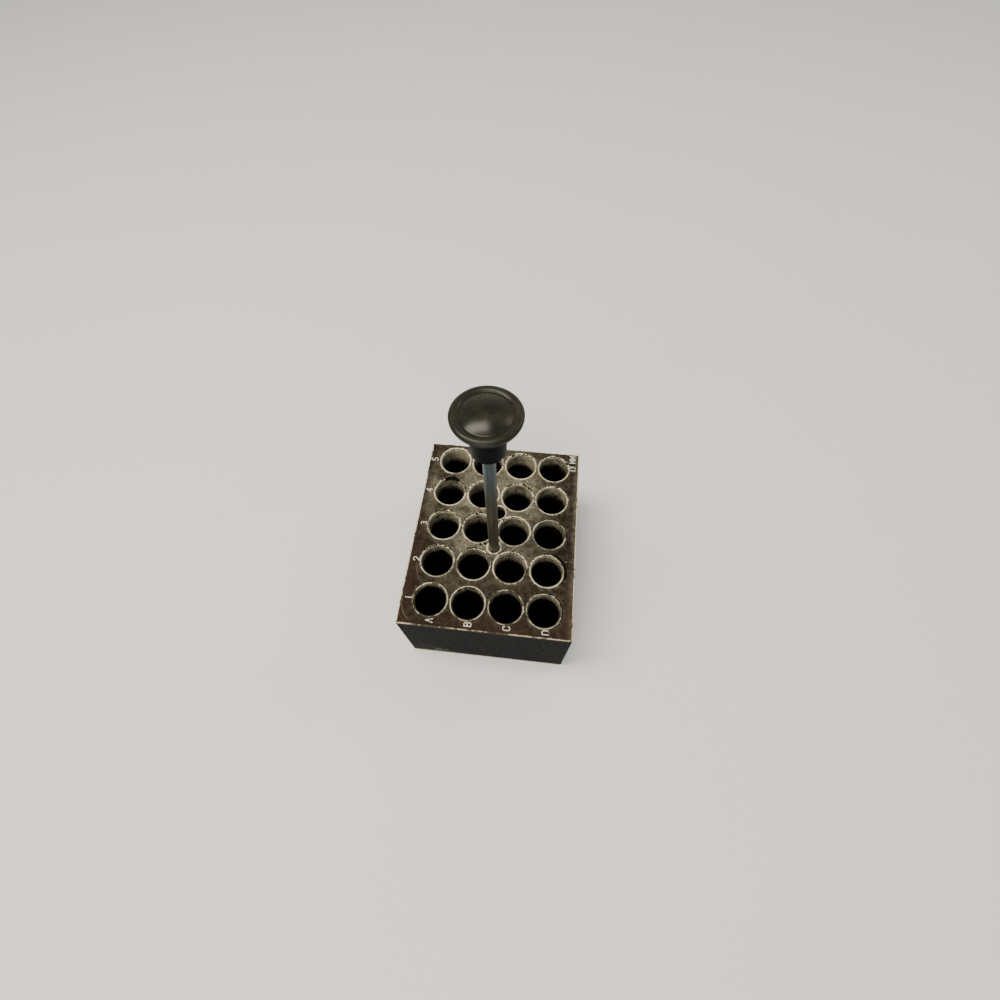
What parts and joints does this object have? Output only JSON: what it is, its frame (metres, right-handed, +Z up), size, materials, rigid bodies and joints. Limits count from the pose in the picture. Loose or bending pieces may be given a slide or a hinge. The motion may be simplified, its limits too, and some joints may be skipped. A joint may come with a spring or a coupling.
{
  "type": "dry block heater tube block",
  "caption": "Removable metal tube block of a dry block heater, with a grid of blind wells, a thermometer well and a screwed-in lifting handle.",
  "frame": {"origin": "middle of the block's underside", "axes": "+Z up along the lifting rod, +X along the lettered columns, +Y along the numbered rows, away from the front"},
  "size_m": [0.0762, 0.0952, 0.1494],
  "materials": {
    "anodised_block": "worn brown-black anodising",
    "rod_steel": "dull grey drawn steel",
    "knob_phenolic": "polished black",
    "insert_brass": "machined",
    "mark_paint": "white filling paint, worn"
  },
  "bodies": {
    "block": {"tube_block": "anodised_block", "row_numbers": "mark_paint", "column_letters": "mark_paint", "size_mark": "mark_paint"},
    "rod": {"lifting_rod": "rod_steel"},
    "knob_body": {"knob": "knob_phenolic", "knob_insert": "insert_brass"}
  },
  "joints": [
    {"name": "handle_rise", "type": "slide", "parent": "block", "child": "rod", "axis": [0, 0, 1], "range_m": [0, 0.01191]},
    {"name": "handle_turn", "type": "hinge", "parent": "rod", "child": "knob_body", "pos_m": [0.00025, -0.0082, 0.1293], "axis": [0, 0, 1], "range_deg": [0, 5400]}
  ],
  "couplings": [
    {"joint": "handle_rise", "follows": "handle_turn", "m_per_rad": 0.00012633}
  ]
}
